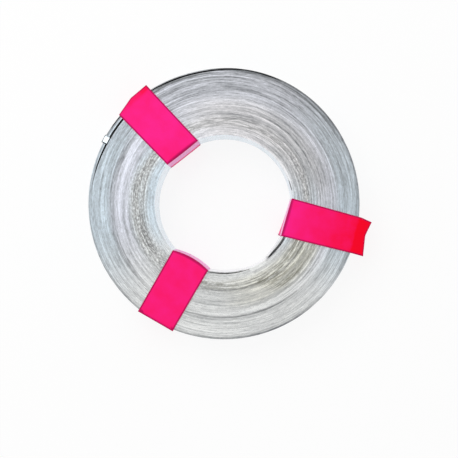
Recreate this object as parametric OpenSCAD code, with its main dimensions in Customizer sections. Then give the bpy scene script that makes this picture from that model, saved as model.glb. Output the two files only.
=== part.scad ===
// Coil of galvanized steel strap, tied with three bands of vinyl tape.
// It lies flat: +Z runs up the bore, and the origin is on the bore's axis at floor level.
// Angles are counted anticlockwise from +X, seen from above.

/* [Strap] */
// Width of the strap, which is the height of the coil
strap_w = 25.4; // [12:0.1:60]
// Thickness of the strap
strap_t = 0.55; // [0.3:0.05:1]
// Slack between one turn and the next
turn_slack = 0.015; // [0.01:0.005:0.1]
// Number of turns in the coil
turns = 75; // [30:1:120]
// Diameter of the bore
bore_d = 86; // [60:1:150]

/* [Turns on the ends] */
// How far the turns drift up and down in slow waves across the coil
edge_wander = 0.2; // [0:0.01:0.6]
// How far neighbouring turns stand above or below each other
edge_scatter = 0.12; // [0:0.01:0.4]
// Depth of the groove between two turns
groove_depth = 0.2; // [0.1:0.01:0.4]

/* [Loose ends] */
// Length of the outer tail past the edge of its tape
outer_tail = 20; // [10:0.1:30]
// Widest gap behind the loose outer turns
outer_gap = 1.3; // [0.3:0.1:2]
// Length of the inner tail past the edge of its tape
inner_tail = 16.8; // [8:0.1:25]
// How far the inner tail stands off the wall of the bore at most
inner_gap = 1.6; // [0.3:0.1:2]
// Length of the folded tip at the outer end
tip_length = 5.2; // [2:0.1:8]
// How far the tip's upper corner is folded over the last turns
tip_fold = 3; // [1:0.1:6]
// How far the fold stands out from the coil's side
tip_bulge = 0.5; // [0.1:0.1:1]

/* [Tape] */
// Width of the tape
tape_w = 25.4; // [12:0.1:38]
// Thickness of the tape
tape_t = 0.18; // [0.1:0.01:0.4]
// Length of the tab where the right band's ends are stuck together
tab_length = 7.6; // [3:0.1:15]
// Depth of the notch in the end of that tab
tab_notch = 1.8; // [0:0.1:2.5]
// How far the anticlockwise edge of that tab draws in towards its end
tab_taper = 1.2; // [0:0.1:4]
// Length of the trimmed tab on the upper left band
short_tab_length = 2.9; // [1:0.1:8]
// How far the lower left band's inner leg bows into the bore
leg_bow = 1.8; // [0:0.1:3]

/* [Hidden] */
$fn = 180;

// Clearance between the tape and the steel, and between the folded tip and the edges below it
tape_clear = 0.05;
tip_clear = 0.05;
// Least depth to which the root of the inner tail reaches into the first turn
tail_bite = 0.05;
// Extra reach of every cutting shape
overrun = 1;

// Broken corner of each turn, as a share of the strap's thickness
edge_break_share = 0.18;
edge_break = edge_break_share * strap_t;

// Turns in one slow wave of the edges, and the angle that the scatter's wave moves on with each turn
wander_turns = 21;
scatter_angle = 137.5;

pitch = strap_t + turn_slack;
bore_r = bore_d / 2;
coil_r = bore_r + turns * pitch;

// Each band: direction, sideways shift and width, the last two as shares of the tape's width
upper_left_band_angle = 133;
upper_left_shift_share = -0.1;
upper_left_width_share = 1;
right_band_angle = -15.5;
right_shift_share = 0.108;
right_width_share = 0.94;
lower_left_band_angle = 240;
lower_left_shift_share = -0.014;
lower_left_width_share = 1;

// Tab corners across the band, as shares of its width from the clockwise edge
notch_share = 0.56;
trim_share = 0.5;

// Length of the trimmed tab at its clockwise edge, as a share of its longest
trim_end_share = 0.8;

// Stretch of the coil's height that the lower left band's lapped end covers
lap_share = 0.62;

// Straight steps in the outline of a bowed leg
bow_steps = 12;

// A band's two edges across its direction, the clockwise one first
function band_edges(shift_share, width_share) =
    [for (side = [-1, 1]) tape_w * (shift_share + side * width_share / 2)];
upper_left_edges = band_edges(upper_left_shift_share, upper_left_width_share);
right_edges = band_edges(right_shift_share, right_width_share);
lower_left_edges = band_edges(lower_left_shift_share, lower_left_width_share);

function on_circle(r, angle) = [r * cos(angle), r * sin(angle)];

// Angle that a length takes up along a circle
function arc_angle(length, r) = length / r * 180 / PI;

// How far a circle moves sideways to open a crescent of the given width and half angle
function crescent_shift(gap, half_angle) = gap / (1 - cos(half_angle));

// Angle from a crescent's middle at which its moved circle comes out to the given radius
function crescent_angle(moved_r, shift, r) =
    acos(min(1, (moved_r * moved_r - shift * shift - r * r) / (2 * shift * r)));

// The outer tail comes out anticlockwise of the upper left band
outer_end_angle = upper_left_band_angle + asin(upper_left_edges[1] / coil_r) + arc_angle(outer_tail, coil_r);
tip_root_angle = outer_end_angle - arc_angle(tip_length, coil_r);

// The last turns are loose on both sides of that band: a wide gap behind the tail, a narrower one before the band
loose_swing_angle = 14;
loose_gap_angle = upper_left_band_angle + loose_swing_angle;
loose_gap_half_angle = 27;
loose_gap_turns = 4;
lead_swing_angle = 29;
lead_gap_angle = upper_left_band_angle - lead_swing_angle;
lead_gap_half_angle = 26;
lead_gap_turns = 1;
lead_gap_share = 0.75;

// The inner tail comes out clockwise of the right band, and its gap is widest at that band's edge
inner_end_angle = right_band_angle + asin(right_edges[0] / bore_r) - arc_angle(inner_tail, bore_r);
inner_lead_angle = 20;
inner_gap_angle = inner_end_angle + inner_lead_angle;
inner_gap_half_angle = 21;
tail_root_angle = inner_gap_angle + inner_gap_half_angle;

// The inner tail follows a circle that is moved away from the gap's middle
tail_shift = crescent_shift(inner_gap, inner_gap_half_angle);
tail_arc_r = bore_r + tail_shift * cos(inner_gap_half_angle);

// The lower left band hides where the first and the last turn begin
turn_step_angle = lower_left_band_angle;

// Height of a turn's lower edge above the lowest one
function turn_rise(i) =
    edge_wander * (1 + sin(360 * i / wander_turns)) / 2
    + edge_scatter * (1 + sin(scatter_angle * i)) / 2;

coil_low = tape_t + tape_clear;
rise_max = max([for (i = [0 : turns - 1]) turn_rise(i)]);
coil_top = coil_low + strap_w + rise_max;
band_h = coil_top + tape_clear + tape_t;

function turn_r(i) = bore_r + i * pitch;
function turn_low(i) = coil_low + turn_rise(i);
function turn_high(i) = turn_low(i) + strap_w;

// Height of the groove before turn i, or of the broken corner at the bore and the outside
function low_groove(i) =
    i == 0 ? turn_low(0) + edge_break
    : i == turns ? turn_low(turns - 1) + edge_break
    : max(turn_low(i - 1), turn_low(i)) + groove_depth;
function high_groove(i) =
    i == 0 ? turn_high(0) - edge_break
    : i == turns ? turn_high(turns - 1) - edge_break
    : min(turn_high(i - 1), turn_high(i)) - groove_depth;

// Section of the whole coil: every turn is a land between two grooves, below and above
module coil_section() {
    below = [for (i = [0 : turns - 1]) each [
        [turn_r(i), low_groove(i)],
        [turn_r(i) + edge_break, turn_low(i)],
        [turn_r(i + 1) - edge_break, turn_low(i)]]];
    above = [for (i = [turns - 1 : -1 : 0]) each [
        [turn_r(i + 1), high_groove(i + 1)],
        [turn_r(i + 1) - edge_break, turn_high(i)],
        [turn_r(i) + edge_break, turn_high(i)]]];
    polygon(concat(below, [[coil_r, low_groove(turns)]], above, [[bore_r, high_groove(0)]]));
}

// Gap behind some loose outer turns: a crescent that opens towards the middle of its span
module outer_crescent(gap, angle, half_angle, loose_turns) {
    rim = turn_r(turns - loose_turns);
    shift = crescent_shift(gap, half_angle);
    translate([0, 0, coil_low - overrun])
        linear_extrude(coil_top - coil_low + 2 * overrun)
            difference() {
                circle(rim);
                translate(on_circle(-shift, angle))
                    circle(rim + shift * cos(half_angle));
            }
}

// Stretch of one turn that the strap doesn't reach
module missing_turn(r_from, r_to, from, to) {
    rotate(from)
        translate([0, 0, coil_low - overrun])
            rotate_extrude(angle = to - from)
                translate([r_from, 0])
                    square([r_to - r_from, coil_top - coil_low + 2 * overrun]);
}

// The upper corner of the outer end leans out from the coil and is folded flat over the last turns
module folded_tip() {
    covered_turns = ceil(tip_fold / pitch);
    seat = max([for (i = [turns - covered_turns : turns - 1]) turn_high(i)]) + tip_clear;
    root = seat - 2 * tip_fold;
    outside = coil_r + tip_bulge;
    rotate(tip_root_angle)
        rotate_extrude(angle = arc_angle(tip_length - edge_break, coil_r))
            polygon([
                [coil_r - strap_t, root],
                [coil_r, root],
                [outside, seat],
                [outside - edge_break, seat + strap_t - edge_break],
                [outside - strap_t, seat + strap_t],
                [coil_r - tip_fold, seat + strap_t],
                [coil_r - tip_fold, seat],
                [coil_r - strap_t, seat]]);
}

// The inner end stands off the wall on its own arc, which runs into the first turn at its root
module loose_inner_end() {
    bite_angle = inner_gap_angle + crescent_angle(tail_arc_r + strap_t, tail_shift, bore_r + tail_bite);
    seat_angle = max(tail_root_angle + arc_angle(strap_t, bore_r), bite_angle);
    translate([0, 0, turn_low(0)])
        linear_extrude(strap_w)
            intersection() {
                translate(on_circle(-tail_shift, inner_gap_angle))
                    difference() {
                        circle(tail_arc_r + strap_t);
                        circle(tail_arc_r);
                    }
                polygon([
                    [0, 0],
                    on_circle(coil_r, inner_end_angle),
                    on_circle(coil_r, inner_gap_angle),
                    on_circle(coil_r, seat_angle)]);
            }
}

module strap_coil() {
    color("#c3c8cd") {
        difference() {
            rotate_extrude() coil_section();
            outer_crescent(outer_gap, loose_gap_angle, loose_gap_half_angle, loose_gap_turns);
            outer_crescent(lead_gap_share * outer_gap, lead_gap_angle, lead_gap_half_angle, lead_gap_turns);
            missing_turn(turn_r(turns - 1), coil_r + overrun, outer_end_angle, turn_step_angle);
            missing_turn(bore_r - overrun, turn_r(1), turn_step_angle - 360, tail_root_angle);
        }
        folded_tip();
        loose_inner_end();
    }
}

// How far along a band's direction a line at v across it meets a circle
function circle_reach(v, r, centre) = centre.x + sqrt(r * r - (v - centre.y) * (v - centre.y));
function bore_reach(v) = circle_reach(v, bore_r, [0, 0]);
function tail_reach(v) =
    circle_reach(v, tail_arc_r, on_circle(-tail_shift, inner_gap_angle - right_band_angle));

wrap_r = coil_r + tape_clear;

// Plan of a band from its inner leg, moved inwards, to the given radius.
// The leg runs straight between its places at the two edges, or bows into the bore.
module band_plan(edges, leg, bow, inset, r, side_room) {
    width = edges[1] - edges[0];
    steps = bow > 0 ? bow_steps : 1;
    inner_side = [for (i = [0 : steps])
        let (v = edges[0] - side_room + (width + 2 * side_room) * i / steps, along = (v - edges[0]) / width)
            [leg[0] + along * (leg[1] - leg[0]) - 4 * bow * along * (1 - along) - inset, v]];
    intersection() {
        polygon(concat(inner_side, [[r + overrun, edges[1] + side_room], [r + overrun, edges[0] - side_room]]));
        circle(r);
    }
}

// Band of tape round the coil's section; children add its tab or lapped end
module tape_band(edges, leg, bow = 0) {
    difference() {
        union() {
            linear_extrude(band_h)
                band_plan(edges, leg, bow, tape_clear + tape_t, wrap_r + tape_t, 0);
            children();
        }
        translate([0, 0, tape_t])
            linear_extrude(band_h - 2 * tape_t)
                band_plan(edges, leg, bow, tape_clear, wrap_r, overrun);
    }
}

// Two ends of a band stuck face to face, level with its top; ends holds the far corners
module joined_tab(edges, ends) {
    root = (bore_r + coil_r) / 2;
    translate([0, 0, band_h - 2 * tape_t])
        linear_extrude(2 * tape_t)
            polygon(concat([[root, edges[1]], [root, edges[0]]], ends));
}

module tape_upper_left() {
    edges = upper_left_edges;
    leg = [bore_reach(edges[0]), bore_reach(edges[1])];
    color("#f5217c")
        rotate(upper_left_band_angle)
            tape_band(edges, leg)
                joined_tab(edges, [
                    [coil_r + trim_end_share * short_tab_length, edges[0]],
                    [coil_r + short_tab_length, edges[0] + trim_share * (edges[1] - edges[0])],
                    [circle_reach(edges[1], wrap_r, [0, 0]), edges[1]]]);
}

module tape_right() {
    edges = right_edges;
    leg = [for (v = edges) min(bore_reach(v), tail_reach(v))];
    color("#f5217c")
        rotate(right_band_angle)
            tape_band(edges, leg)
                joined_tab(edges, [
                    [coil_r + tab_length, edges[0]],
                    [coil_r + tab_length - tab_notch, edges[0] + notch_share * (edges[1] - edges[0])],
                    [coil_r + tab_length, edges[1] - tab_taper],
                    [coil_r, edges[1]]]);
}

module tape_lower_left() {
    edges = lower_left_edges;
    leg = [bore_reach(edges[0]), bore_reach(edges[1])];
    lap_length = lap_share * strap_w;
    color("#f5217c")
        rotate(lower_left_band_angle)
            tape_band(edges, leg, leg_bow)
                translate([0, 0, band_h - lap_length])
                    linear_extrude(lap_length)
                        band_plan(edges, leg, leg_bow, 0, wrap_r + 2 * tape_t, 0);
}

strap_coil();
tape_upper_left();
tape_right();
tape_lower_left();
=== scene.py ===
"""A coil of galvanized steel strap, tied with three bands of vinyl tape.

The strap is wound as one true spiral, and each band is one strip of tape folded round the coil's section.
Lengths are in metres, and angles are counted anticlockwise from +X, seen from above.
"""

import math

import bpy
import numpy as np
from bpy.props import FloatProperty, FloatVectorProperty, IntProperty, PointerProperty
from bpy.types import Operator, Panel, PropertyGroup
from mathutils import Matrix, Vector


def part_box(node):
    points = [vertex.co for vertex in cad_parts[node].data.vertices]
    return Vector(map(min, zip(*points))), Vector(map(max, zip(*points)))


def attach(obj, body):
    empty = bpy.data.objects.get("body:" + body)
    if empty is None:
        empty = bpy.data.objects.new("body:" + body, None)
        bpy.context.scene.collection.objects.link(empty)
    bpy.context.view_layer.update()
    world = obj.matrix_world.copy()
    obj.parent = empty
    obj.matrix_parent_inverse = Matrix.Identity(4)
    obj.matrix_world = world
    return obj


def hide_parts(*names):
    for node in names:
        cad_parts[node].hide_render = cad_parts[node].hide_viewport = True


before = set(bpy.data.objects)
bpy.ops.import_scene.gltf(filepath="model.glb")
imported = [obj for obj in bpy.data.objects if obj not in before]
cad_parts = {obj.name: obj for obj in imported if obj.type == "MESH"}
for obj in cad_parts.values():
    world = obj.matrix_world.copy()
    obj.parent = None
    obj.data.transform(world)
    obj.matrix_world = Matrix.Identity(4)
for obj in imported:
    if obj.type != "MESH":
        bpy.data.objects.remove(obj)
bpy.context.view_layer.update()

bl_info = {
    "name": "Steel Strap Coil",
    "version": (1, 0, 0),
    "blender": (4, 5, 0),
    "location": "View3D > Sidebar > Strap Coil",
    "description": "Winds a coil of galvanized steel strap, ties it with vinyl tape and sets its stage",
    "category": "Add Mesh",
}

MM = 0.001
BODY = "root"
PHOTO_PIXELS = 458

# What the frame says about the coil and its bands
COIL_LOW, COIL_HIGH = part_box("strap_coil")
COIL_RADIUS = -COIL_LOW.y
COIL_TOP = COIL_HIGH.z
BAND_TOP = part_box("tape_right")[1].z

# Each band of tape, its clockwise edge first:
#   inner_edges  its edges across its direction at the bore, and outer_edges those at the coil's side
#   stand_off    how far its inner leg stands off the wall at each edge, and bow the same in the middle
#   foot_lean    how far that leg leans in at its clockwise foot
#   pink_foot    the height up to which that leg stays pink, below its painted sheen
#   tab          outline of its joined ends: (share across the band, length past the coil's side)
#   tab_taper    how far the tab's other edge draws in, and tab_droop how far the tab hangs
#   lap          the share of the strap's width that a lapped end covers
#   redness      at the bore, half way and at the coil's side, and tab_redness what its tab adds
BANDS = (
    {
        "node": "tape_upper_left", "angle": math.radians(133),
        "inner_edges": (-15.2 * MM, 9.2 * MM), "outer_edges": (-15.2 * MM, 10.1 * MM),
        "stand_off": (0.25 * MM, 0), "bow": 0.15 * MM,
        "tab": ((0, 2.2 * MM), (0.5, 2.8 * MM), (1, 0.1 * MM)),
        "tab_droop": 0.15 * MM, "pink_foot": (6 * MM, 6 * MM),
        "redness": (0.22, 0.02, 0.18), "tab_redness": (0.55, 0.1),
    },
    {
        "node": "tape_right", "angle": math.radians(-15.5),
        "inner_edges": (-9.9 * MM, 14.7 * MM), "outer_edges": (-8.5 * MM, 14.7 * MM),
        "stand_off": (0, 0), "bow": 0.1 * MM,
        "tab": ((0, 7.7 * MM), (0.58, 5.5 * MM), (1, 7.2 * MM)),
        "tab_droop": 1.1 * MM, "tab_taper": 1.2 * MM,
        "foot_lean": 1.2 * MM, "pink_foot": (16 * MM, -8 * MM),
        "redness": (0.16, 0.53, 0.85), "tab_redness": (0.30, 0.25),
    },
    {
        "node": "tape_lower_left", "angle": math.radians(240),
        "inner_edges": (-13.1 * MM, 12.4 * MM), "outer_edges": (-12.9 * MM, 12.2 * MM),
        "stand_off": (0, 0), "bow": 1.8 * MM,
        "lap": 0.62, "pink_foot": (-1 * MM, -1 * MM),
        "redness": (0.33, 0.31, 0.36), "tab_redness": (0, 0),
    },
)

# The first turn also stands a little off the wall at the foot of the photograph: direction, half the arc, gap
FOOT_GAP = (math.radians(-88), math.radians(22), 0.6 * MM)

# Gaps behind the loose outer turns: direction and half the arc in degrees, share of the widest gap, and turns
# outside it. With none outside it, the coil's outline itself draws in or stands out there.
OUTER_GAPS = (
    (145.5, 25.5, 1.0, 4),
    (104, 26, 0.75, 1),
    (107, 22, 0.45, 0),
    (55, 28, -0.28, 0),
)

# The stretch of one turn that lies lower than the rest, and how soon it comes up again, in turns
DIP_TURNS = (49.66, 50.04)
DIP_FADE = 0.08

# Turns in one slow wave of the strap's edges, and how far their quick wave moves on with each turn
WANDER_TURNS = 21
SCATTER_ANGLE = math.radians(137.5)

# Directions on the photograph in which the coil's finish changes, as steps to its right and to its top
STREAKY_TOP = (0.2, 0.98)
STREAKY_FOOT = (0.6, -0.8)
WIDEST_DIRT = (0.81, -0.59)
LEFT_DIRT = (-0.98, -0.17)
OLIVE_DIRT = (0.5, -0.87)
OLIVE_STREAKS = (0.64, -0.77)
WARM_STREAKS = (0.5, 0.87)
BRIGHT_SIDE = (-0.09, -1)
# Toward WHITE_WALL the wall of the bore gets painted light
WHITE_WALL = (0.35, -0.94)

# Marks on the cut edges: radius and half width in millimetres, direction and half the arc in degrees, and
# change of tone. Each fades over a share of its arc at both ends.
MARK_FADE = 0.25
MARKS = (
    # The rim: the dark lines across its top and upper left are painted shade in the gaps behind the loose
    # outer turns
    (85, 0.5, 82, 15, -0.6),
    (82.9, 0.9, 109, 13, -0.4),
    (85, 0.4, 140.5, 5, -0.5),
    (84.6, 0.7, -85, 36, -0.32),
    (80.5, 0.4, 98, 25, 0.3),
    (79.2, 0.4, 95, 20, -0.15),
    (83.8, 1.4, 60, 26, -0.1),
    (75, 2.5, 185, 22, 0.1),
    (76.4, 2.2, 200, 11, -0.14),
    (78.5, 2.8, -35, 12, 0.1),
    (80.3, 1.5, -93, 12, 0.12),
    # Rings half way: narrow lines of painted highlight and shade where turns stand a little higher or lower,
    # and wider changes of tone
    (71.2, 0.5, -80, 26, -0.2),
    (70, 1.4, 183, 34, -0.22),
    (69.2, 0.9, 161, 7, -0.15),
    (69.3, 0.8, -78, 24, 0.13),
    (70.3, 1.6, -36, 13, 0.24),
    (64.5, 2.4, -46, 24, -0.09),
    (71, 0.3, 35, 32, 0.3),
    (65.5, 1.6, 174, 26, 0.18),
    (63.8, 1.8, 82, 18, 0.14),
    (59.5, 0.4, 45, 20, -0.25),
    (60.4, 1.4, 171, 15, 0.13),
    (63.4, 1, 162, 6, -0.12),
    (63.6, 1.2, 198, 10, -0.1),
    (63.5, 3, 22, 11, -0.11),
    # Lines among the dirty turns
    (57.3, 1.2, -50, 22, 0.28),
    (55.2, 0.6, -42, 18, -0.3),
    (54.2, 0.6, -80, 22, -0.3),
    (50.7, 0.4, -65, 40, -0.28),
    (49.3, 1, -72, 30, 0.16),
    (50.5, 2.6, 30, 28, 0.1),
    (53, 2.2, 198, 12, -0.2),
    (55.1, 0.4, 25, 26, -0.15),
    (51, 0.4, 25, 26, -0.18),
    (48.6, 0.4, 25, 24, -0.18),
    (46.7, 0.4, 28, 22, -0.15),
    (47, 1.2, 160, 8, 0.18),
    (51.2, 1.6, 78, 15, 0.09),
    (55.6, 2.5, 48, 48, -0.08),
    (49.5, 1.2, 47, 13, -0.13),
    # The edge of the bore: painted shade in the gaps by the inner tail and by the right band and where the
    # wall is hidden at the foot, and painted light where the wall beside the tail is lit
    (43.85, 0.35, -40, 11, -1.1),
    (43, 0.5, -90, 16, -0.4),
    (44.6, 1, -61, 7, 0.35),
    (43.9, 0.6, 32, 16, 0.35),
    (43.1, 0.5, 15.5, 4, -0.95),
)

# Mean tone of the cut edges from the bore to the rim: (share of the way, tone)
TONES = (
    (0.00, 0.66), (0.11, 0.68), (0.17, 0.62), (0.21, 0.60), (0.27, 0.56), (0.34, 0.57), (0.45, 0.56),
    (0.56, 0.63), (0.61, 0.60), (0.67, 0.49), (0.75, 0.55), (0.92, 0.53), (0.965, 0.41), (1.00, 0.22),
)

# Fields of the strap's bake map, in shares of its side: the upper and lower edges' discs (middle, radius),
# the strip of hidden faces, the walls' rows with the turns in each, and the folded tip's corner
UPPER_DISC = ((0.335, 0.665), 0.325)
LOWER_DISC = ((0.825, 0.175), 0.165)
MAP_LEFT = 0.02
HIDDEN_FOOT = 0.012
HIDDEN_SIZE = (0.58, 0.018)
INNER_WALL_FOOT = 0.05
OUTER_WALL_FOOT = 0.19
WALL_SIZE = (0.57, 0.06)
WALL_STEP = 0.07
WALL_TURNS = 0.51
TIP_CORNER = (0.9, 0.6)
TIP_SCALE = (2.5, 10)

# Faces count as cut edges there when they tip by more than this, and turns are told apart to this
EDGE_TILT = 0.3
SMALL = 1e-6

# The folded tip: steps of its mesh, the room below it, the radius of its fold and its broken corners
TIP_COLUMNS = 12
TIP_STEPS = (6, 8)
TIP_ROOM = 0.02 * MM
TIP_FOLD_RADIUS = 0.2 * MM
TIP_EDGE_BREAK = 0.05 * MM

# Painted shade lines on the tip's top: the depth of that top, the lines' widths at its fold and ends, and how
# dark
TIP_TOP = 0.8 * MM
TIP_FOLD_LINE = 0.05 * MM
TIP_END_LINE = 0.5 * MM
TIP_FOLD_SHADE = 0.9
TIP_ROOT_SHADE = 0.7

# Steps across a band of tape, and along each stretch of one with a tab and of one with a lapped end
BAND_COLUMNS = 20
TAB_STEPS = (8, 12, 22, 12, 40)
LAP_STEPS = (12, 22, 12, 40, 8)

# A tab tapers and droops over its reach, and begins to redden before the coil's side
TAB_REACH = 8 * MM
TAB_LEAD = 1.5 * MM
DROOP_POWER = 1.5

# Wrinkles lie near a band's top, inside the coil's side. Their waves, in radians a metre: along the band, the
# bend of that, across the band, the slant of that
WRINKLE_DEPTH = 0.4 * MM
WRINKLE_RISE = 0.2 * MM
WRINKLE_FADE = 3 * MM
WRINKLE_WAVES = (410, 300, 520, 130)

# How far a band's finish reaches: its top, its legs in from the bore with their painted sheen, and the
# painted shade lines at its folds and end
TOP_ZONE = 1 * MM
LEG_DEPTH = 0.2 * MM
BORE_FOLD_LINE = 0.9 * MM
SIDE_FOLD_LINE = 0.6 * MM
END_LINE = 0.7 * MM
END_STRENGTH = 1.4

# Depth of the fine relief, and the angles up to which faces look smooth
RELIEF = 0.06 * MM
STEEL_SMOOTH = math.radians(30)
TAPE_SMOOTH = math.radians(50)

# The lamp, the floor and the camera, with its sensor in millimetres
KEY_PLACE = (-0.45, 0.55, 0.9)
KEY_SIZE = 0.9
FLOOR_GREY = (0.9, 0.9, 0.9, 1)
WHITE = (1, 1, 1, 1)
SENSOR_WIDTH = 36


# Sizes and colours that a user would change


def plain(kind, name, text, default, **settings):
    """A plain property."""
    return kind(name=name, description=text, default=default, **settings)


def length(name, text, default):
    """A length property in metres."""
    return plain(FloatProperty, name, text, default, subtype="DISTANCE", unit="LENGTH", precision=5)


def angle(name, text, degrees):
    """An angle property, given in degrees."""
    return plain(FloatProperty, name, text, math.radians(degrees), subtype="ANGLE", unit="ROTATION")


def colour(name, text, default):
    """A colour property in linear light."""
    return plain(FloatVectorProperty, name, text, (*default, 1), size=4, min=0, max=1, subtype="COLOR")


class StrapSettings(PropertyGroup):
    """The steel strap and how it is wound."""

    width: length("Width", "Width of the strap, which is the height of the coil", 25.4 * MM)
    thickness: length("Thickness", "Thickness of the strap", 0.55 * MM)
    edge_break: length("Edge Break", "Broken corner along the strap's edges", 0.1 * MM)
    bore: length("Bore", "Diameter of the bore", 86 * MM)
    full_turns: plain(IntProperty, "Full Turns", "Whole turns between the two ends", 74, min=10)
    turn_segments: plain(IntProperty, "Segments", "Straight steps in one turn", 160, min=24)
    inner_end: angle("Inner End", "Direction of the strap's inner end", -50.3)
    outer_end: angle("Outer End", "Direction of the strap's outer end", 153.2)
    inner_gap: length("Inner Gap", "How far the inner tail stands off the wall", 1.6 * MM)
    inner_gap_at: angle("Inner Gap At", "Direction of the middle of that gap", -30.3)
    inner_gap_half: angle("Inner Gap Half", "Half the arc that the inner gap spans", 21)
    outer_gap: length("Outer Gap", "Widest gap behind the loose outer turns", 1.3 * MM)
    tip_length: length("Tip Length", "Length of the folded tip at the outer end", 5.2 * MM)
    tip_fold: length("Tip Fold", "How far the tip's corner is folded over", 3 * MM)
    tip_bulge: length("Tip Bulge", "How far the fold stands out from the coil's side", 0.5 * MM)
    wander: length("Edge Wander", "Slow waves of the turns' edges across the coil", 0.2 * MM)
    scatter: length("Edge Scatter", "Steps between neighbouring turns' edges", 0.12 * MM)
    dip: length("Dip", "Depth of the groove over one low turn", 0.4 * MM)
    zinc: colour("Zinc", "Clean zinc of the strap's flat faces", (0.83, 0.93, 0.99))
    # Painted light: the wall of the bore is whitened toward WHITE_WALL
    painted_lit_zinc: colour("White Zinc", "Zinc where the wall of the bore looks white", (0.97, 0.98, 1.0))
    # Painted shade: this dark colour goes on the faces hidden between the turns and along the folded tip's
    # fold and ends
    between: colour("Between", "Flat faces that lie between two turns", (0.05, 0.05, 0.055))
    bright_edge: colour("Bright Edge", "Bright streaks on the cut edges", (0.88, 0.89, 0.88))
    lilac_edge: colour("Lilac Edge", "Bright streaks where the edges look lilac", (0.84, 0.865, 0.95))
    cool_edge: colour("Cool Edge", "Bright streaks where the edges look bluish", (0.77, 0.88, 0.96))
    olive_edge: colour("Olive Edge", "Bright streaks among the olive dirt", (0.885, 0.88, 0.815))
    warm_edge: colour("Warm Edge", "Bright streaks where the inner turns look warm", (0.89, 0.87, 0.875))
    dull_edge: colour("Dull Edge", "Dull streaks on the cut edges", (0.19, 0.20, 0.21))
    shadow: colour("Shadow", "The darkest lines between the turns", (0.02, 0.02, 0.023))
    grime: colour("Grime", "Dirt between the inner turns", (0.20, 0.20, 0.195))
    olive_grime: colour("Olive Grime", "Dirt where it looks olive", (0.22, 0.21, 0.145))


class TapeSettings(PropertyGroup):
    """The vinyl tape of the three bands."""

    thickness: length("Thickness", "Thickness of the tape", 0.18 * MM)
    clearance: length("Clearance", "Room between the tape and the steel", 0.05 * MM)
    fold: length("Fold", "Radius of the folds at the coil's edges", 0.3 * MM)
    slack_fold: length("Slack Fold", "Extra radius in the middle of the inner folds", 0.5 * MM)
    wrinkle: length("Wrinkle", "Height of the faint wrinkles on the top", 0.06 * MM)
    pink: colour("Pink", "The tape where it lies on the steel", (0.945, 0.016, 0.25))
    # Mixed in by each band's redness across its top and on its tab, beyond where two layers lie
    red: colour("Red", "The tape where two layers are stuck together", (0.92, 0.0, 0.02))
    # Painted shade: the dark lines along the tape's cut edges, its tab's end and its upper folds
    edge: colour("Edge", "The tape's cut edges and folds", (0.36, 0.004, 0.075))
    # Painted sheen: the pale colour of the inner legs in the bore, above their pink feet
    painted_leg_sheen: colour("Pale", "The stretched inner legs in the bore", (1.0, 0.50, 0.84))


class StageSettings(PropertyGroup):
    """The floor, the light and the camera."""

    floor_size: length("Floor Size", "Width of the floor", 6.0)
    floor_white: plain(FloatProperty, "Floor White", "Share of white in the floor", 0.84, subtype="FACTOR")
    sky: plain(FloatProperty, "Sky", "Strength of the even light from all round", 0.79, min=0)
    key_power: plain(FloatProperty, "Key", "Power of the large soft lamp", 4.7, unit="POWER", min=0)
    camera_height: length("Camera Height", "Height of the camera above the coil's top", 0.475)
    camera_right: length("Camera Right", "How far right of the bore the camera stands", 17 * MM)
    camera_down: length("Camera Down", "How far below the bore the camera stands", 15.85 * MM)
    picture_right: length("Picture Right", "How far right of the bore the picture's middle lies", 3.3 * MM)
    picture_down: length("Picture Down", "How far below the bore the picture's middle lies", 15.85 * MM)
    coil_pixels: plain(FloatProperty, "Coil Pixels", "Radius of the coil in the photograph, in pixels", 136.4)


class StrapCoilSettings(PropertyGroup):
    """Everything that the sidebar panel shows."""

    strap: PointerProperty(type=StrapSettings)
    tape: PointerProperty(type=TapeSettings)
    stage: PointerProperty(type=StageSettings)


# How the strap is wound


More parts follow.
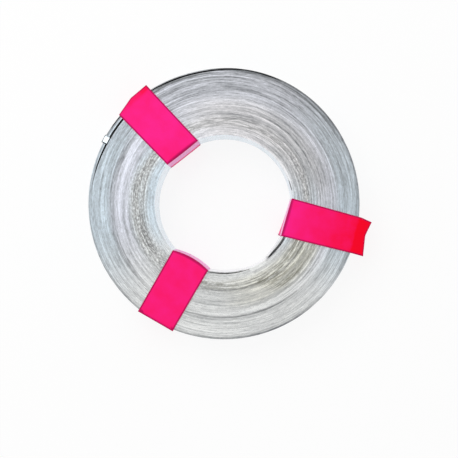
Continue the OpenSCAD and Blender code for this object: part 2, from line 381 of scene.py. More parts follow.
class Winding:
    """The spiral that the strap follows, from its inner end to its outer end."""

    def __init__(self, strap):
        self.strap = strap
        self.bore_radius = strap.bore / 2
        self.turns = strap.full_turns + (strap.outer_end - strap.inner_end) / math.tau
        self.pitch = (COIL_RADIUS - strap.thickness - self.bore_radius) / self.turns
        self.steps = round(self.turns * strap.turn_segments)
        self.tail_turns = (strap.inner_gap_at + strap.inner_gap_half - strap.inner_end) / math.tau
        self.gaps = [self.outer_gap(*gap) for gap in OUTER_GAPS]

    def outer_gap(self, around, half, share, loose):
        """One gap behind some loose outer turns, which begin opposite it, so the strap never jumps."""
        around, half = math.radians(around), math.radians(half)
        behind = (self.strap.outer_end - around - math.pi) % math.tau / math.tau
        return around, half, share * self.strap.outer_gap, self.turns - loose + 1 - behind

    def angle(self, turn):
        """Direction of the strap at a number of turns from its inner end."""
        return self.strap.inner_end + turn * math.tau

    @staticmethod
    def crescent(gap, off_middle, half):
        """Width of a gap that is widest in the middle of its arc and shut at both ends."""
        off_middle = (off_middle + math.pi) % math.tau - math.pi
        return gap * np.clip((np.cos(off_middle) - math.cos(half)) / (1 - math.cos(half)), 0, None)

    def radius(self, turn):
        """Radius of the strap's inner face at a number of turns from its inner end."""
        strap = self.strap
        turn = np.asarray(turn, float)
        around = self.angle(turn)
        radius = self.bore_radius + self.pitch * turn
        tail = self.crescent(strap.inner_gap, around - strap.inner_gap_at, strap.inner_gap_half)
        radius -= np.where(turn < self.tail_turns, tail, 0)
        middle, half, width = FOOT_GAP
        radius -= np.where(turn < 1, self.crescent(width, around - middle, half), 0)
        for middle, half, width, loose_from in self.gaps:
            pressed = self.crescent(width, around - middle, half)
            radius -= np.where(turn < loose_from, pressed * turn / loose_from, 0)
        return radius

    def rise(self, turn):
        """How far the strap's edges stand above the lowest ones."""
        turn = np.asarray(turn, float)
        slow = 1 + np.sin(math.tau * turn / WANDER_TURNS)
        quick = 1 + np.sin(SCATTER_ANGLE * turn)
        low_turn = np.clip((DIP_TURNS[1] - turn) * (turn - DIP_TURNS[0]) / DIP_FADE**2, 0, 1)
        return self.strap.wander * slow / 2 + self.strap.scatter * quick / 2 - self.strap.dip * low_turn

    def bore_at(self, around):
        """Radius of the innermost face in a direction."""
        return self.radius((around - self.strap.inner_end) % math.tau / math.tau)

    def side_at(self, around):
        """Radius of the outermost face in a direction."""
        back = (self.strap.outer_end - around) % math.tau / math.tau
        return self.radius(self.turns - back) + self.strap.thickness


# Small helpers for the operators


def enter(mode):
    """Opens a mode of the active piece."""
    bpy.ops.object.mode_set(mode=mode)


def start_clean():
    """Leaves nothing selected and no mode open."""
    if bpy.context.object and bpy.context.object.mode != "OBJECT":
        enter("OBJECT")
    bpy.ops.object.select_all(action="DESELECT")


def read_all(items, key, width=1, kind=np.float32):
    """One value, or a row of values, for each item of a mesh's list."""
    values = np.empty(len(items) * width, kind)
    items.foreach_get(key, values)
    return values.reshape(-1, width) if width > 1 else values


def vertex_places(mesh):
    """The mesh's vertices as rows of x, y and z."""
    return read_all(mesh.vertices, "co", 3).astype(float)


def move_vertices(mesh, places):
    """Puts the mesh's vertices at the given rows of x, y and z."""
    mesh.vertices.foreach_set("co", places.astype(np.float32).ravel())
    mesh.update()


def add_number(mesh, name, values):
    """Keeps one number for each vertex, for the materials to read."""
    mesh.attributes.new(name, "FLOAT", "POINT").data.foreach_set("value", values.astype(np.float32))


def from_polar(radius, around, height):
    """Rows of x, y and z from a radius, a direction and a height."""
    return np.column_stack((radius * np.cos(around), radius * np.sin(around), height))


def add_sheet(rows, columns):
    """A flat sheet to fold; gives the piece, and each point's row, column and share across."""
    bpy.ops.mesh.primitive_grid_add(x_subdivisions=rows, y_subdivisions=columns, size=1)
    piece = bpy.context.object
    along, across = vertex_places(piece.data)[:, :2].T + 0.5
    row = np.rint(along * rows).astype(int)
    col = np.rint(across * columns).astype(int)
    return piece, row, col, across


def apply_modifier(piece, kind, **settings):
    """Adds a modifier, sets it and applies it."""
    modifier = piece.modifiers.new(kind.title(), kind)
    for key, value in settings.items():
        setattr(modifier, key, value)
    bpy.ops.object.modifier_apply(modifier=modifier.name)


def thicken(piece, thickness, offset):
    """Gives a sheet its thickness on one side."""
    apply_modifier(piece, "SOLIDIFY", thickness=thickness, offset=offset, use_even_offset=True, use_rim=True)


def close_and_turn_out():
    """Fills the active piece's open ends and turns all its faces outward."""
    enter("EDIT")
    bpy.ops.mesh.select_mode(type="VERT")
    bpy.ops.mesh.select_all(action="SELECT")
    bpy.ops.mesh.fill_holes(sides=0)
    bpy.ops.mesh.select_all(action="SELECT")
    bpy.ops.mesh.normals_make_consistent(inside=False)
    enter("OBJECT")


def hand_over(piece, node, material):
    """Names the piece, gives it its finish and lets it stand for its node of the frame."""
    piece.name = piece.data.name = node + "_piece"
    piece.data.materials.clear()
    piece.data.materials.append(material)
    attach(piece, BODY)
    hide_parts(node)


# Nodes of the materials


class Nodes:
    """Short calls for building one node tree."""

    def __init__(self, tree):
        self.tree = tree
        tree.nodes.clear()

    def add(self, kind, inputs=None, **settings):
        """Adds a node; inputs holds sockets to link or plain values."""
        made = self.tree.nodes.new("ShaderNode" + kind)
        for key, value in settings.items():
            setattr(made, key, value)
        for key, value in (inputs or {}).items():
            self.put(value, made.inputs[key])
        return made

    def put(self, value, socket):
        """Links a socket, or sets a plain value."""
        if isinstance(value, bpy.types.NodeSocket):
            self.tree.links.new(value, socket)
        else:
            socket.default_value = value

    def maths(self, operation, *values, clamp=False):
        """One sum."""
        return self.add("Math", dict(enumerate(values)), operation=operation, use_clamp=clamp).outputs[0]

    def times(self, first, second):
        """A product."""
        return self.maths("MULTIPLY", first, second)

    def vectors(self, operation, *values):
        """One sum of vectors; a length or a dot product is a number."""
        output = "Value" if operation in ("LENGTH", "DOT_PRODUCT") else "Vector"
        return self.add("VectorMath", dict(enumerate(values)), operation=operation).outputs[output]

    def attribute(self, name):
        """A number that the mesh keeps for each vertex."""
        return self.add("Attribute", attribute_name=name).outputs["Fac"]

    def ramp(self, value, low, high, to_low=0.0, to_high=1.0, smooth=True):
        """Takes a value from one range to another, and stays inside it."""
        inputs = {"Value": value, "From Min": low, "From Max": high, "To Min": to_low, "To Max": to_high}
        kind = "SMOOTHSTEP" if smooth else "LINEAR"
        return self.add("MapRange", inputs, interpolation_type=kind, clamp=True).outputs["Result"]

    def window(self, value, low, high, fade):
        """One inside a range and nothing outside it, with soft ends."""
        rising = self.ramp(value, low - fade, low)
        falling = self.ramp(value, high, high + fade, 1.0, 0.0)
        return self.times(rising, falling)

    def mix(self, share, first, second):
        """A colour between two."""
        made = self.add("Mix", {"Factor": share}, data_type="RGBA", clamp_factor=True)
        self.put(first, made.inputs[6])
        self.put(second, made.inputs[7])
        return made.outputs[2]

    def noise(self, place, scale, detail=2.0, rough=0.5, dimensions="3D"):
        """Even noise about one half."""
        inputs = {"Scale": scale, "Detail": detail, "Roughness": rough}
        inputs["W" if dimensions == "1D" else "Vector"] = place
        return self.add("TexNoise", inputs, noise_dimensions=dimensions).outputs["Fac"]

    def relief(self, height, strength):
        """Fine relief, as a normal."""
        inputs = {"Strength": strength, "Distance": RELIEF, "Height": height}
        return self.add("Bump", inputs).outputs["Normal"]

    def surface(self, **inputs):
        """The shader and the material's output."""
        shader = self.add("BsdfPrincipled", inputs)
        output = self.add("OutputMaterial")
        self.tree.links.new(shader.outputs["BSDF"], output.inputs["Surface"])


def new_material(name):
    """A material with a node tree."""
    material = bpy.data.materials.new(name)
    material.use_nodes = True
    return material


def set_stops(ramp, stops):
    """Puts grey stops on a colour ramp."""
    while len(ramp.elements) < len(stops):
        ramp.elements.new(0.5)
    for element, (place, grey) in zip(ramp.elements, stops):
        element.position = place
        element.color = (grey, grey, grey, 1)


class CoilNodes(Nodes):
    """A node tree that knows where a point of the coil lies."""

    def __init__(self, tree, winding):
        super().__init__(tree)
        self.turn = self.attribute("turn")
        self.place = self.add("TexCoord").outputs["Object"]
        flat = self.vectors("MULTIPLY", self.place, (1, 1, 0))
        self.radius = self.vectors("LENGTH", flat)
        self.outward = self.vectors("NORMALIZE", flat)
        sideways = self.add("SeparateXYZ", {0: self.outward}).outputs
        self.right, self.up = sideways["X"], sideways["Y"]
        self.depth = self.ramp(self.radius, winding.bore_radius, COIL_RADIUS, smooth=False)
        ring = {"X": self.right, "Y": self.up, "Z": self.depth}
        self.ring = self.add("CombineXYZ", ring).outputs[0]

    def along_turns(self, around, across, detail, rough):
        """Noise that is fine across the turns and drawn out along them."""
        fine = self.vectors("MULTIPLY", self.ring, (around, around, across))
        return self.noise(fine, 1.0, detail, rough)

    def toward(self, way):
        """How far a point lies in a direction: one there, minus one opposite."""
        return self.vectors("DOT_PRODUCT", self.outward, (*way, 0))

    def facing(self, way, *ranges):
        """A ramp over how far a point lies in a direction."""
        return self.ramp(self.toward(way), *ranges)

    def mark(self, middle, half_width, direction, half_arc, change):
        """A darker or lighter line along some turns over one arc of the coil."""
        way = (math.cos(math.radians(direction)), math.sin(math.radians(direction)))
        end = math.cos(math.radians(half_arc * (1 + MARK_FADE)))
        full = math.cos(math.radians(half_arc * (1 - MARK_FADE)))
        along = self.facing(way, end, full, 0.0, change)
        low, high = (middle - half_width / 2) * MM, (middle + half_width / 2) * MM
        across = self.window(self.radius, low, high, half_width * MM)
        return self.times(along, across)


def edge_patterns(coil):
    """Slow bands, streaks a few turns wide, short dashes, streaks along single turns, and flecks."""
    dashes = coil.along_turns(32, 70, 1.0, 0.5)
    drawn_out = coil.maths("SUBTRACT", coil.along_turns(8, 60, 1.0, 0.5), dashes)
    at_foot = coil.facing(STREAKY_FOOT, 0.5, 0.9, 0.0, 0.75)
    streaky = coil.maths("MAXIMUM", coil.facing(STREAKY_TOP, 0.6, 0.95), at_foot)
    return {
        "bands": coil.along_turns(1.3, 12, 2.0, 0.5),
        "lines": coil.along_turns(2.0, 42, 2.0, 0.6),
        "dashes": coil.maths("MULTIPLY_ADD", drawn_out, streaky, dashes),
        "streaks": coil.noise(coil.turn, 5.0, detail=3.0, rough=0.6, dimensions="1D"),
        "flecks": coil.noise(coil.turn, 90.0, detail=2.0, rough=0.7, dimensions="1D"),
    }


def dirty_turns(coil, bands):
    """How dirty the turns are: a ring near the bore, widest at the lower right and wide at the left."""
    reach = coil.facing(WIDEST_DIRT, 0.82, 0.98, 0.31, 0.56)
    reach = coil.maths("ADD", reach, coil.facing(LEFT_DIRT, 0.6, 0.95, 0.0, 0.10))
    past_dirt = coil.maths("SUBTRACT", coil.depth, reach)
    dirty = coil.times(coil.ramp(coil.depth, 0.08, 0.22), coil.ramp(past_dirt, -0.14, 0.04, 1.0, 0.0))
    return coil.times(dirty, coil.ramp(bands, 0.30, 0.60, 0.5, 1.0))


def edge_tone(coil, patterns, dirty):
    """Tone of the cut edges: the mean from bore to rim, darker toward the top, with patterns and marks."""
    mean = coil.add("ValToRGB", {"Fac": coil.depth})
    set_stops(mean.color_ramp, TONES)
    slope = coil.ramp(coil.depth, 0.25, 0.9, 0.03, 0.19)
    tone = coil.maths("MULTIPLY_ADD", coil.toward(BRIGHT_SIDE), slope, mean.outputs["Color"])
    shares = {
        "bands": 0.35,
        "lines": coil.ramp(dirty, 0.0, 1.0, 1.15, 0.75, smooth=False),
        "dashes": coil.ramp(dirty, 0.0, 1.0, 0.35, 1.3, smooth=False),
        "streaks": 0.60,
        "flecks": 0.55,
    }
    for name, share in shares.items():
        tone = coil.maths("MULTIPLY_ADD", coil.maths("SUBTRACT", patterns[name], 0.5), share, tone)
    for mark in MARKS:
        tone = coil.maths("ADD", tone, coil.mark(*mark))
    return tone


def bright_streaks(coil, strap, dirty):
    """Colour of the bright streaks.

    Neutral at the foot of the photograph and where the turns are dirty, olive in the widest dirt,
    warm on the inner turns at the upper right, bluish at the sides and lilac elsewhere.
    """
    off_middle = coil.maths("ABSOLUTE", coil.maths("SUBTRACT", coil.depth, 0.52))
    bluish = coil.ramp(coil.maths("ABSOLUTE", coil.right), 0.5, 0.95)
    bluish = coil.times(bluish, coil.ramp(off_middle, 0.08, 0.22))
    cool = coil.mix(bluish, strap.lilac_edge, strap.cool_edge)
    clean = coil.ramp(dirty, 0.0, 0.8, 1.0, 0.15, smooth=False)
    tinted = coil.times(coil.ramp(coil.up, -0.85, -0.15), clean)
    bright = coil.mix(tinted, strap.bright_edge, cool)
    stained = coil.window(coil.depth, 0.2, 0.45, 0.15)
    stained = coil.times(stained, coil.facing(OLIVE_STREAKS, 0.7, 0.97))
    bright = coil.mix(stained, bright, strap.olive_edge)
    inner = coil.ramp(coil.depth, 0.4, 0.65, 0.85, 0.25)
    warm = coil.times(coil.facing(WARM_STREAKS, 0.3, 0.9), inner)
    return coil.mix(warm, bright, strap.warm_edge)


def lay_grime(coil, strap, patterns, dirty, edges):
    """The edges with grime on the dirty turns, in dashes and grains."""
    grains = coil.noise(coil.place, 1100.0, detail=2.0, rough=0.7)
    broken = coil.maths("MULTIPLY_ADD", patterns["lines"], 0.7, patterns["dashes"])
    broken = coil.maths("MULTIPLY_ADD", grains, 0.4, broken)
    broken = coil.ramp(broken, 1.25, 0.85, 0.04, 0.66)
    grime = coil.mix(coil.facing(OLIVE_DIRT, 0.3, 0.8), strap.grime, strap.olive_grime)
    return coil.mix(coil.times(dirty, broken), edges, grime)


def wide_faces(coil, strap):
    """Plain zinc with a faint spangle, whitened by painted light on one side of the bore's wall, and darkened
    by painted shade where a face lies between two turns and along the folded tip's outline.
    """
    spangle = coil.add("TexVoronoi", {"Vector": coil.place, "Scale": 260.0}).outputs["Color"]
    spangle = coil.add("SeparateColor", {0: spangle}).outputs[0]
    spangle = coil.ramp(spangle, 0.0, 1.0, 0.0, 0.16, smooth=False)
    # Painted light: the bore's wall turns whiter toward WHITE_WALL
    zinc = coil.mix(coil.facing(WHITE_WALL, 0.3, 0.8), strap.zinc, strap.painted_lit_zinc)
    zinc = coil.mix(spangle, zinc, strap.dull_edge)
    # Painted shade on the faces between the turns and along the folded tip's outline
    return coil.mix(coil.attribute("between"), zinc, strap.between)


def galvanized_steel(strap, winding):
    """Zinc-bright wide faces, and cut edges with streaks along each turn and grime."""
    material = new_material("galvanized_steel")
    coil = CoilNodes(material.node_tree, winding)
    patterns = edge_patterns(coil)
    dirty = dirty_turns(coil, patterns["bands"])
    tone = edge_tone(coil, patterns, dirty)
    edges = coil.mix(tone, strap.dull_edge, bright_streaks(coil, strap, dirty))
    edges = coil.mix(coil.ramp(tone, 0.0, -0.5), edges, strap.shadow)
    edges = lay_grime(coil, strap, patterns, dirty, edges)

    # Cut edges face up or down, and the folded tip has none
    normal = coil.add("SeparateXYZ", {0: coil.add("NewGeometry").outputs["Normal"]}).outputs["Z"]
    on_edge = coil.ramp(coil.maths("ABSOLUTE", normal), 0.3, 0.6)
    on_edge = coil.times(on_edge, coil.maths("GREATER_THAN", coil.turn, -0.5))
    colour_all = coil.mix(on_edge, wide_faces(coil, strap), edges)
    rough = coil.ramp(tone, 0.2, 0.9, 0.52, 0.38, smooth=False)
    rough = coil.times(rough, coil.ramp(on_edge, 0.0, 1.0, 0.6, 1.0))
    bump = coil.relief(patterns["flecks"], 0.25)
    coil.surface(**{"Base Color": colour_all, "Metallic": 0.8, "Roughness": rough, "Normal": bump})
    return material


def vinyl_tape(tape):
    """Soft gloss pink vinyl, redder where each band's redness says, with painted shade along its cut edges
    and folds, a painted sheen on its inner legs, and a fine grain.
    """
    material = new_material("vinyl_tape")
    nodes = Nodes(material.node_tree)
    place = nodes.add("TexCoord").outputs["Object"]
    across = nodes.add("SeparateXYZ", {0: nodes.add("UVMap", uv_map="UVMap").outputs[0]}).outputs["Y"]
    mottle = nodes.noise(place, 110.0, detail=4.0, rough=0.6)
    shade = nodes.maths("SUBTRACT", mottle, 0.5)
    shade = nodes.maths("MULTIPLY_ADD", shade, 0.7, nodes.attribute("redness"), clamp=True)
    skin = nodes.mix(shade, tape.pink, tape.red)

    # Painted shade: dark lines along the cut edges, the tab's end and the upper folds
    from_middle = nodes.maths("ABSOLUTE", nodes.maths("SUBTRACT", across, 0.5))
    cut = nodes.ramp(from_middle, 0.450, 0.475)
    dark = nodes.maths("MAXIMUM", cut, nodes.attribute("tab_end"))
    dark = nodes.maths("MAXIMUM", dark, nodes.attribute("top_fold"))
    skin = nodes.mix(nodes.times(dark, 0.8), skin, tape.edge)

    # Painted sheen: the inner legs are pale above their feet
    above_foot = nodes.ramp(nodes.attribute("above_foot"), 0.0, 1.0, smooth=False)
    leg = nodes.times(nodes.attribute("inner_leg"), above_foot)
    skin = nodes.mix(nodes.times(leg, 0.85), skin, tape.painted_leg_sheen)
    grain = nodes.noise(place, 2600.0, detail=2.0)
    creases = nodes.noise(place, 210.0, detail=3.0, rough=0.55)
    height = nodes.maths("MULTIPLY_ADD", creases, 3.0, grain)
    bump = nodes.relief(height, 0.35)
    rough = nodes.ramp(mottle, 0.3, 0.7, 0.34, 0.46, smooth=False)
    nodes.surface(**{"Base Color": skin, "Roughness": rough, "Specular IOR Level": 0.05, "Normal": bump})
    return material


# The strap


def lay_out_bake_map(mesh, winding, turn_of_vertex):
    """Maps the upper and lower edges as two discs and the visible walls as strips.

    The faces that lie between the turns share one thin strip, so the discs get the room.
    """
    loops = read_all(mesh.loops, "vertex_index", kind=np.int32)
    counts = read_all(mesh.polygons, "loop_total", kind=np.int32)
    face_of_loop = np.repeat(np.arange(len(counts)), counts)
    normal = read_all(mesh.polygons, "normal", 3)[face_of_loop]
    centre = read_all(mesh.polygons, "center", 3)[face_of_loop]
    places = vertex_places(mesh)[loops]
    turns = turn_of_vertex[loops]
    outward = (normal[:, :2] * centre[:, :2]).sum(1) > 0
    first = np.minimum.reduceat(turns, np.r_[0, np.cumsum(counts)[:-1]])[face_of_loop]

    height = (places[:, 2] - COIL_LOW.z) / (COIL_TOP - COIL_LOW.z)
    flat = places[:, :2] / (COIL_RADIUS + MM)
    # Hidden faces: one thin strip along the foot of the map
    strip_length, strip_height = HIDDEN_SIZE
    along = MAP_LEFT + strip_length * turns / winding.turns
    result = np.column_stack((along, HIDDEN_FOOT + strip_height * height))
    up = normal[:, 2] > EDGE_TILT
    down = normal[:, 2] < -EDGE_TILT
    for chosen, (middle, radius) in ((up, UPPER_DISC), (down, LOWER_DISC)):
        result[chosen] = middle + radius * flat[chosen]
    # Walls: the first turn's inner side and the last turn's outer side, each in two rows
    row_length, row_height = WALL_SIZE
    last_start = winding.turns - 2 * WALL_TURNS
    walls = ((~outward, 0.0, INNER_WALL_FOOT), (outward, last_start, OUTER_WALL_FOOT))
    for side, start, foot in walls:
        for row in range(2):
            begin = start + row * WALL_TURNS
            along = first - begin + SMALL
            chosen = ~up & ~down & side & (along >= 0) & (along < WALL_TURNS)
            result[chosen, 0] = MAP_LEFT + row_length * (turns[chosen] - begin) / WALL_TURNS
            result[chosen, 1] = foot + WALL_STEP * row + row_height * height[chosen]
    # The folded tip: a small field of its own, read from its length and from its height and depth
    tip = turns < 0
    x, y, z = places[tip].T
    around = np.arctan2(y, x) - winding.strap.outer_end
    inward = COIL_RADIUS - np.hypot(x, y)
    result[tip] = TIP_CORNER + TIP_SCALE * np.column_stack((around, z - COIL_TOP + inward))
    layer = mesh.uv_layers.new(name="OFBake")
    layer.data.foreach_set("uv", result.astype(np.float32).ravel())


def rounded_path(corners, folds, steps, fold_steps=5):
    """Points along a path with rounded corners, for all columns at once.

    Each corner holds its (u, z) in every column, each inner one has its fold, and each stretch its steps.
    """
    points = []
    last = len(corners) - 1
    leaving = corners[0]
    for i in range(1, last + 1):
        into = corners[i] - corners[i - 1]
        into = into / np.linalg.norm(into, axis=1, keepdims=True)
        arriving = corners[i] if i == last else corners[i] - into * folds[i - 1][:, None]
        for k in range(steps[i - 1]):
            points.append(leaving + (arriving - leaving) * k / steps[i - 1])
        if i == last:
            points.append(arriving)
            break
        out = corners[i + 1] - corners[i]
        out = out / np.linalg.norm(out, axis=1, keepdims=True)
        leaving = corners[i] + out * folds[i - 1][:, None]
        for k in range(fold_steps):
            s = k / fold_steps
            points.append((1 - s) ** 2 * arriving + 2 * s * (1 - s) * corners[i] + s * s * leaving)
    return np.array(points)


def fold_tip(winding):
    """The upper corner of the outer end, which leans out and is folded flat over the last turns."""
    strap = winding.strap
    side = float(winding.side_at(strap.outer_end)) - strap.thickness
    seat = COIL_TOP - strap.thickness
    outline = (
        (side + TIP_ROOM, seat - 2 * strap.tip_fold),
        (side + strap.tip_bulge, seat),
        (side + strap.thickness - strap.tip_fold, seat),
    )
    corners = [np.array([corner]) for corner in outline]
    path = rounded_path(corners, [np.array([TIP_FOLD_RADIUS])], TIP_STEPS)[:, 0]
    tip, row, _, across = add_sheet(len(path) - 1, TIP_COLUMNS)
    radius, height = path[row].T
    around = strap.outer_end + (across - 1) * strap.tip_length / COIL_RADIUS
    move_vertices(tip.data, from_polar(radius, around, height))
    thicken(tip, strap.thickness, -1.0)
    apply_modifier(tip, "BEVEL", width=TIP_EDGE_BREAK, segments=2, limit_method="ANGLE")
    close_and_turn_out()
    return tip


def tip_outline(places, strap):
    """How dark the painted shade on the folded tip is: along its fold and at both its ends."""
    x, y, z = places.T
    on_top = z > COIL_TOP - TIP_TOP
    at_fold = on_top & (np.hypot(x, y) > COIL_RADIUS - TIP_FOLD_LINE)
    along = (strap.outer_end - np.arctan2(y, x)) * COIL_RADIUS
    at_root = along > strap.tip_length - TIP_END_LINE
    at_ends = np.where(along < TIP_END_LINE, 1.0, TIP_ROOT_SHADE * at_root)
    return np.maximum(TIP_FOLD_SHADE * at_fold, on_top * at_ends)


def strap_section(winding):
    """The outline of the strap's section, with broken corners, at the wall of the bore."""
    strap = winding.strap
    middle = (winding.bore_radius + strap.thickness / 2, 0, strap.width / 2)
    bpy.ops.mesh.primitive_plane_add(size=1, location=middle, rotation=(math.pi / 2, 0, 0))
    bpy.ops.transform.resize(value=(strap.thickness, 1, strap.width))
    bpy.ops.object.transform_apply(location=True, rotation=True, scale=True)
    enter("EDIT")
    bpy.ops.mesh.select_all(action="SELECT")
    bpy.ops.mesh.bevel(offset=strap.edge_break, segments=1, affect="VERTICES")
    bpy.ops.mesh.select_all(action="SELECT")
    bpy.ops.mesh.delete(type="ONLY_FACE")
    enter("OBJECT")
    return bpy.context.object


def wind_section(piece, winding):
    """Winds the section into the coil; gives each point's turn and how far it lies through the strap."""
    # Enough whole turns, one over the other, then the surplus comes off the end
    segments = winding.strap.turn_segments
    corners = len(piece.data.vertices)
    apply_modifier(
        piece, "SCREW", axis="Z", angle=math.tau, steps=segments, render_steps=segments,
        iterations=math.ceil(winding.turns), screw_offset=0, use_smooth_shade=False,
    )
    kept = (winding.steps + 1) * corners
    piece.data.vertices.foreach_set("select", np.arange(len(piece.data.vertices)) >= kept)
    enter("EDIT")
    bpy.ops.mesh.delete(type="VERT")
    enter("OBJECT")
    if len(piece.data.vertices) != kept:
        raise RuntimeError("the wound strap has a wrong number of points")

    # Each step moves out to its place on the spiral and up to its height
    places = vertex_places(piece.data)
    turn = np.repeat(np.arange(winding.steps + 1) / segments, corners)
    through = np.hypot(places[:, 0], places[:, 1]) - winding.bore_radius
    height = COIL_LOW.z + winding.rise(turn) + places[:, 2]
    move_vertices(piece.data, from_polar(winding.radius(turn) + through, winding.angle(turn), height))
    close_and_turn_out()
    return turn, through


class STRAPCOIL_OT_wind_strap(Operator):
    """Winds the steel strap from its inner tail to its folded outer tip"""

    bl_idname = "strap_coil.wind_strap"
    bl_label = "Wind Strap"

    def execute(self, context):
        strap = context.scene.strap_coil.strap
        winding = Winding(strap)
        start_clean()
        piece = strap_section(winding)
        turn, through = wind_section(piece, winding)

        # Faces that lie between two turns get painted shade, then the folded tip, which counts as no turn,
        # gets painted shade along its outline
        inside = through < strap.thickness / 2
        between = np.where(inside, turn >= 1, turn <= winding.turns - 1)
        tip = fold_tip(winding)
        start_clean()
        tip.select_set(True)
        piece.select_set(True)
        context.view_layer.objects.active = piece
        bpy.ops.object.join()
        outline = tip_outline(vertex_places(piece.data)[len(turn):], strap)
        turn = np.append(turn, np.full(len(outline), -1.0))
        between = np.append(between, outline)
        bpy.ops.object.shade_smooth_by_angle(angle=STEEL_SMOOTH)
        add_number(piece.data, "turn", turn)
        add_number(piece.data, "between", between)
        lay_out_bake_map(piece.data, winding, turn)
        hand_over(piece, "strap_coil", galvanized_steel(strap, winding))
        return {"FINISHED"}


# The tape


def band_path(band, share, tape, winding):
    """Where one band's inner side runs in each of its columns, as rows of (u, z)."""
    low = tape.thickness
    top = BAND_TOP - tape.thickness
    edges = np.array(band["inner_edges"])
    wall = winding.bore_at(band["angle"] + np.arcsin(edges / winding.bore_radius))
    leg = np.sqrt(wall**2 - edges**2) - tape.clearance - np.array(band["stand_off"])
    inner = np.interp(share, (0, 1), leg) - 4 * band["bow"] * share * (1 - share)
    foot = inner - band.get("foot_lean", 0) * (1 - share) ** 3
    v = np.interp(share, (0, 1), band["outer_edges"])
    side = winding.side_at(band["angle"] + np.arcsin(v / COIL_RADIUS)) + tape.clearance
    hugging = np.sqrt(side**2 - v**2)
    tight = np.full_like(v, tape.fold)
    slack = tape.fold + tape.slack_fold * 4 * share * (1 - share)
    if "tab" in band:
        at, past = np.transpose(band["tab"])
        tab = np.maximum(COIL_RADIUS + np.interp(share, at, past), hugging + tape.clearance)
        outline = ((tab, top), (hugging, top), (hugging, low), (foot, low), (inner, top), (tab, top))
        folds = (np.minimum(tight, (tab - hugging) / 2), tight, slack, slack)
        steps = TAB_STEPS
    else:
        # The lapped end is stretched straight across the coil's side
        straight = np.full_like(v, hugging.max())
        over = straight + tape.thickness
        lapped = BAND_TOP - band["lap"] * winding.strap.width
        start = top - tape.thickness
        outline = ((straight, start), (straight, low), (foot, low), (inner, top), (over, top), (over, lapped))
        folds = (tight, slack, slack, tight)
        steps = LAP_STEPS
    corners = [np.column_stack((u, np.broadcast_to(z, u.shape))) for u, z in outline]
    return rounded_path(corners, folds, steps), inner, hugging


def wrap_band(band, tape, winding, material):
    """One strip of tape, folded round the coil's section and given its thickness."""
    share = np.arange(BAND_COLUMNS + 1) / BAND_COLUMNS
    path, inner, outer = band_path(band, share, tape, winding)
    start_clean()
    piece, row, col, _ = add_sheet(len(path) - 1, BAND_COLUMNS)
    u, z = path[row, col].T
    share, inner, outer, end = share[col], inner[col], outer[col], path[0, col, 0]

    def across(key):
        """A value that changes evenly from edge to edge."""
        return np.interp(share, (0, 1), band[key])

    outward = np.clip((u - inner) / (outer - inner), 0, 1)
    v = across("inner_edges") + outward * (across("outer_edges") - across("inner_edges"))
    on_tab = np.clip((u - COIL_RADIUS) / TAB_REACH, 0, 1)
    v = v - band.get("tab_taper", 0) * on_tab * share

    # Faint wrinkles on the top, and a tab that droops a little
    on_top = np.clip((z - BAND_TOP + WRINKLE_DEPTH) / WRINKLE_RISE, 0, 1)
    on_top = on_top * np.clip((COIL_RADIUS - u) / WRINKLE_FADE, 0, 1)
    first, bend, second, slant = WRINKLE_WAVES
    wave = np.sin(u * first + 3 * np.sin(v * bend)) * np.sin(v * second + u * slant + 1)
    past = np.clip(u - COIL_RADIUS + TAB_LEAD, 0, None)
    droop = band.get("tab_droop", 0) * (past / TAB_REACH) ** DROOP_POWER
    z = z + on_top * tape.wrinkle * (0.5 + 0.5 * wave) - droop
    turned = band["angle"]
    x = u * math.cos(turned) - v * math.sin(turned)
    y = u * math.sin(turned) + v * math.cos(turned)
    move_vertices(piece.data, np.column_stack((x, y, z)))

    # What the tape's finish reads, with its painted sheen and painted shade lines
    tab = np.clip(past / TAB_LEAD, 0, 1)
    at_bore = u < inner + BORE_FOLD_LINE
    at_side = (u > outer - SIDE_FOLD_LINE) & ("tab" not in band)
    finish = {
        "redness": np.interp(outward, (0, 0.5, 1), band["redness"]) + across("tab_redness") * tab,
        "above_foot": (z - across("pink_foot")) / MM,
        "inner_leg": np.clip((BAND_TOP - TOP_ZONE - z) / TOP_ZONE, 0, 1) * (u < inner + LEG_DEPTH),
        "tab_end": tab * np.clip(END_STRENGTH - (end - u) / END_LINE, 0, 1),
        "top_fold": (at_bore | at_side) & (z > BAND_TOP - TOP_ZONE),
    }
    for name, values in finish.items():
        add_number(piece.data, name, values)

    # The thickness goes outward, and nothing passes below the floor
    thicken(piece, tape.thickness, 1.0)
    places = vertex_places(piece.data)
    places[:, 2] = np.clip(places[:, 2], 0, None)
    move_vertices(piece.data, places)
    close_and_turn_out()
    bpy.ops.object.shade_smooth_by_angle(angle=TAPE_SMOOTH)
    hand_over(piece, band["node"], material)


class STRAPCOIL_OT_wrap_tapes(Operator):
    """Wraps the three bands of vinyl tape round the coil"""

    bl_idname = "strap_coil.wrap_tapes"
    bl_label = "Wrap Tapes"

    def execute(self, context):
        settings = context.scene.strap_coil
        winding = Winding(settings.strap)
        material = vinyl_tape(settings.tape)
        for band in BANDS:
            wrap_band(band, settings.tape, winding, material)
        return {"FINISHED"}


# The stage


def plainly_seen(nodes):
    """One for rays from the camera, straight, off a glossy face or through a clear one."""
    path = nodes.add("LightPath").outputs
    seen = nodes.maths("ADD", path["Is Camera Ray"], path["Is Glossy Ray"])
    return nodes.maths("ADD", seen, path["Is Transmission Ray"], clamp=True)


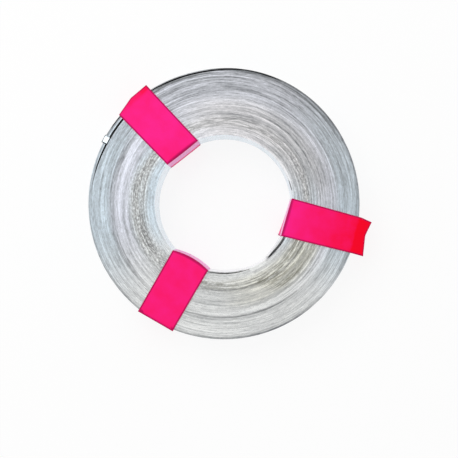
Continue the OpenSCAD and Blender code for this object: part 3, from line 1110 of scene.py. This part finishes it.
def floor_finish(stage):
    """A white floor that keeps the coil's soft shadow."""
    material = new_material("stage_floor")
    nodes = Nodes(material.node_tree)
    share = nodes.times(plainly_seen(nodes), stage.floor_white)
    matte = nodes.add("BsdfDiffuse", {"Color": FLOOR_GREY})
    white = nodes.add("Emission", {"Color": WHITE, "Strength": 1.0})
    both = nodes.add("MixShader", {0: share, 1: matte.outputs[0], 2: white.outputs[0]})
    nodes.add("OutputMaterial", {"Surface": both.outputs[0]})
    return material


def light_sky(scene, stage):
    """Even light from all round, which the camera and the metal see as white."""
    world = bpy.data.worlds.new("studio")
    world.use_nodes = True
    scene.world = world
    nodes = Nodes(world.node_tree)
    strength = nodes.ramp(plainly_seen(nodes), 0.0, 1.0, stage.sky, 1.0, smooth=False)
    sky = nodes.add("Background", {"Color": WHITE, "Strength": strength})
    nodes.add("OutputWorld", {"Surface": sky.outputs[0]})


class STRAPCOIL_OT_set_stage(Operator):
    """Lays the floor, hangs the lights and places the camera above the coil"""

    bl_idname = "strap_coil.set_stage"
    bl_label = "Set Stage"

    def execute(self, context):
        scene = context.scene
        stage = scene.strap_coil.stage
        start_clean()
        bpy.ops.mesh.primitive_plane_add(size=stage.floor_size)
        floor = context.object
        floor.name = "stage_floor"
        floor.data.materials.append(floor_finish(stage))

        light_sky(scene, stage)
        bpy.ops.object.light_add(type="AREA", location=KEY_PLACE, rotation=(0, 0, 0))
        key = context.object
        key.name = "stage_key"
        key.data.size = KEY_SIZE
        key.data.energy = stage.key_power
        key.rotation_euler = (-key.location).to_track_quat("-Z", "Y").to_euler()

        spot = (stage.camera_right, -stage.camera_down, COIL_TOP + stage.camera_height)
        bpy.ops.object.camera_add(location=spot, rotation=(0, 0, 0))
        camera = context.object
        camera.name = "stage_camera"
        field = PHOTO_PIXELS * COIL_RADIUS / stage.coil_pixels
        camera.data.sensor_width = SENSOR_WIDTH
        camera.data.lens = camera.data.sensor_width * stage.camera_height / field
        camera.data.shift_x = (stage.picture_right - stage.camera_right) / field
        camera.data.shift_y = (stage.camera_down - stage.picture_down) / field
        scene.camera = camera
        scene.view_settings.view_transform = "Standard"
        return {"FINISHED"}


class STRAPCOIL_PT_panel(Panel):
    """The coil's sizes, colours and steps"""

    bl_idname = "STRAPCOIL_PT_panel"
    bl_label = "Steel Strap Coil"
    bl_space_type = "VIEW_3D"
    bl_region_type = "UI"
    bl_category = "Strap Coil"

    def draw(self, context):
        settings = context.scene.strap_coil
        steps = (
            (settings.strap, STRAPCOIL_OT_wind_strap),
            (settings.tape, STRAPCOIL_OT_wrap_tapes),
            (settings.stage, STRAPCOIL_OT_set_stage),
        )
        for group, operator in steps:
            box = self.layout.box()
            for key in group.__annotations__:
                box.prop(group, key)
            box.operator(operator.bl_idname)


CLASSES = (
    StrapSettings,
    TapeSettings,
    StageSettings,
    StrapCoilSettings,
    STRAPCOIL_OT_wind_strap,
    STRAPCOIL_OT_wrap_tapes,
    STRAPCOIL_OT_set_stage,
    STRAPCOIL_PT_panel,
)


def register():
    for cls in CLASSES:
        bpy.utils.register_class(cls)
    bpy.types.Scene.strap_coil = PointerProperty(type=StrapCoilSettings)


def unregister():
    del bpy.types.Scene.strap_coil
    for cls in reversed(CLASSES):
        bpy.utils.unregister_class(cls)


def main():
    """Makes every piece and the stage."""
    register()
    bpy.ops.strap_coil.wind_strap()
    bpy.ops.strap_coil.wrap_tapes()
    bpy.ops.strap_coil.set_stage()


if __name__ == "__main__":
    main()
